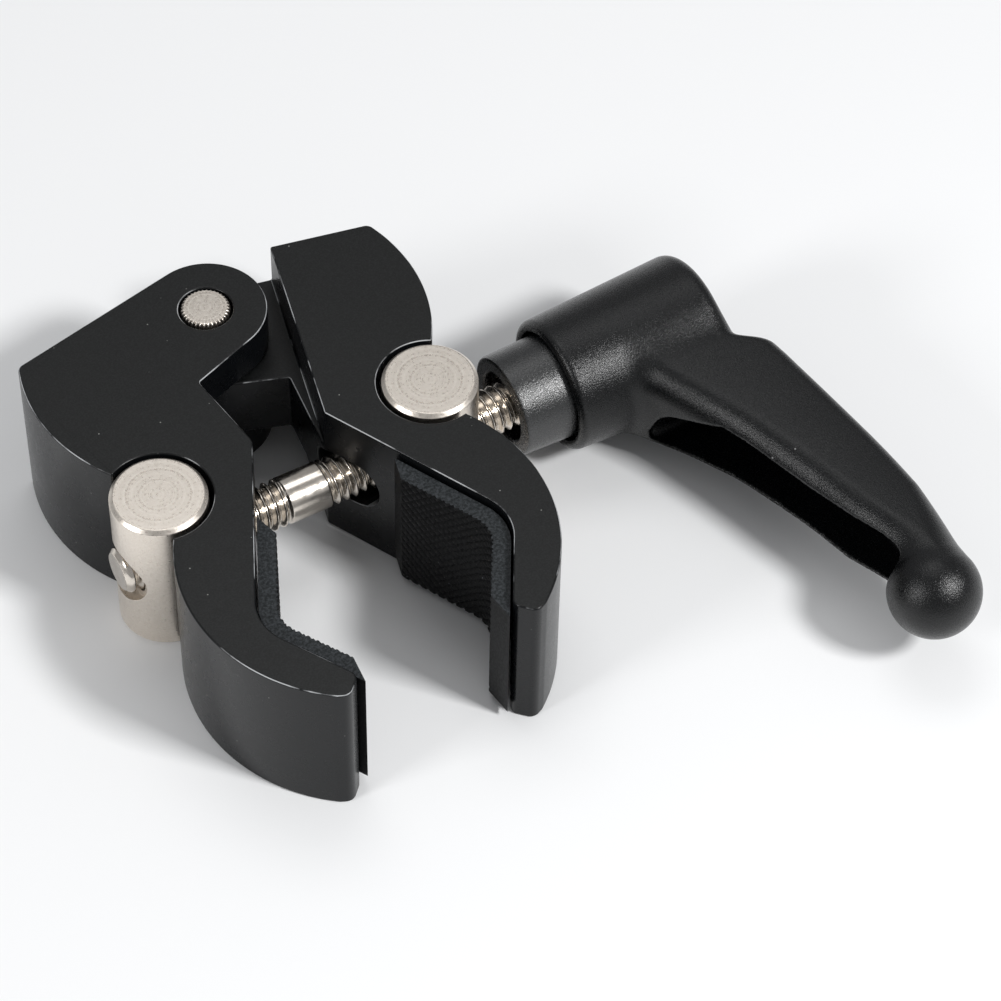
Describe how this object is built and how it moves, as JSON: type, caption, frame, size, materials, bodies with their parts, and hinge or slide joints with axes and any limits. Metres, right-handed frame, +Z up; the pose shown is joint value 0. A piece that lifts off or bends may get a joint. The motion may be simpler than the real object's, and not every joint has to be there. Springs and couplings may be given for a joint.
{
  "type": "super clamp",
  "caption": "Crab-shaped clamp for lighting and camera gear: two hinged jaws with rubber pads, closed by a stud and an adjustable lever handle.",
  "frame": {"origin": "centre of the whole clamp's footprint, on the surface that it lies on", "axes": "+X along the stud towards the lever, +Y towards the hinge pin, +Z up along the hinge pin and the barrels"},
  "size_m": [0.0956, 0.093, 0.0229],
  "materials": {
    "jaw_finish": "satin black anodised, bright worn edges",
    "grip_rubber": "fine diamond knurl, dark blue-grey",
    "nickel": "turned, warm nickel plate",
    "stud_steel": "bright rolled thread",
    "black_steel": "matt black, fine grain",
    "zinc_steel": "bright zinc plate",
    "lever_plastic": "matt black with a fine moulded grain"
  },
  "bodies": {
    "left_jaw_body": {"left_jaw": "jaw_finish", "left_jaw_pad": "grip_rubber", "hinge_pin": "nickel"},
    "right_jaw_body": {"right_jaw": "jaw_finish", "right_jaw_pad": "grip_rubber"},
    "left_barrel_body": {"left_barrel": "nickel"},
    "right_barrel_body": {"right_barrel": "nickel"},
    "stud_carrier": {"release_spring": "zinc_steel"},
    "screw": {"clamp_stud": "stud_steel", "hub_insert": "black_steel", "retaining_screw": "zinc_steel"},
    "index_washer": {"spring_washer": "zinc_steel"},
    "lever_body": {"lever": "lever_plastic"}
  },
  "joints": [
    {"name": "jaw_hinge", "type": "hinge", "parent": "left_jaw_body", "child": "right_jaw_body", "pos_m": [-0.0208, 0.0385, 0.01125], "axis": [0, 0, -1], "range_deg": [-6.67, 16.4]},
    {"name": "left_barrel_turn", "type": "hinge", "parent": "left_jaw_body", "child": "left_barrel_body", "pos_m": [-0.0401, 0.0135, 0.01125], "axis": [0, 0, -1], "range_deg": [-3.4, 8.3]},
    {"name": "right_barrel_turn", "type": "hinge", "parent": "right_jaw_body", "child": "right_barrel_body", "pos_m": [-0.0015, 0.0135, 0.01125], "axis": [0, 0, 1], "range_deg": [-3.4, 8.3]},
    {"name": "stud_slide", "type": "slide", "parent": "right_barrel_body", "child": "stud_carrier", "axis": [-1, 0, 0], "range_m": [-0.00155, 0.00375]},
    {"name": "screw_turn", "type": "hinge", "parent": "stud_carrier", "child": "screw", "pos_m": [-0.0015, 0.0135, 0.01125], "axis": [-1, 0, 0], "range_deg": [-430, 1050]},
    {"name": "lever_index", "type": "hinge", "parent": "screw", "child": "index_washer", "pos_m": [0.0342, 0.0135, 0.01125], "axis": [1, 0, 0], "continuous": true},
    {"name": "lever_lift", "type": "slide", "parent": "index_washer", "child": "lever_body", "axis": [1, 0, 0], "range_m": [0, 0.0036], "stiffness_N_per_m": 1500, "springref_m": -0.004, "deforming": ["release_spring"]}
  ],
  "couplings": [
    {"joint": "screw_turn", "follows": "jaw_hinge", "ratio": 63.7},
    {"joint": "left_barrel_turn", "follows": "jaw_hinge", "ratio": 0.5},
    {"joint": "right_barrel_turn", "follows": "jaw_hinge", "ratio": 0.5},
    {"joint": "stud_slide", "follows": "jaw_hinge", "m_per_rad": 0.012875}
  ]
}
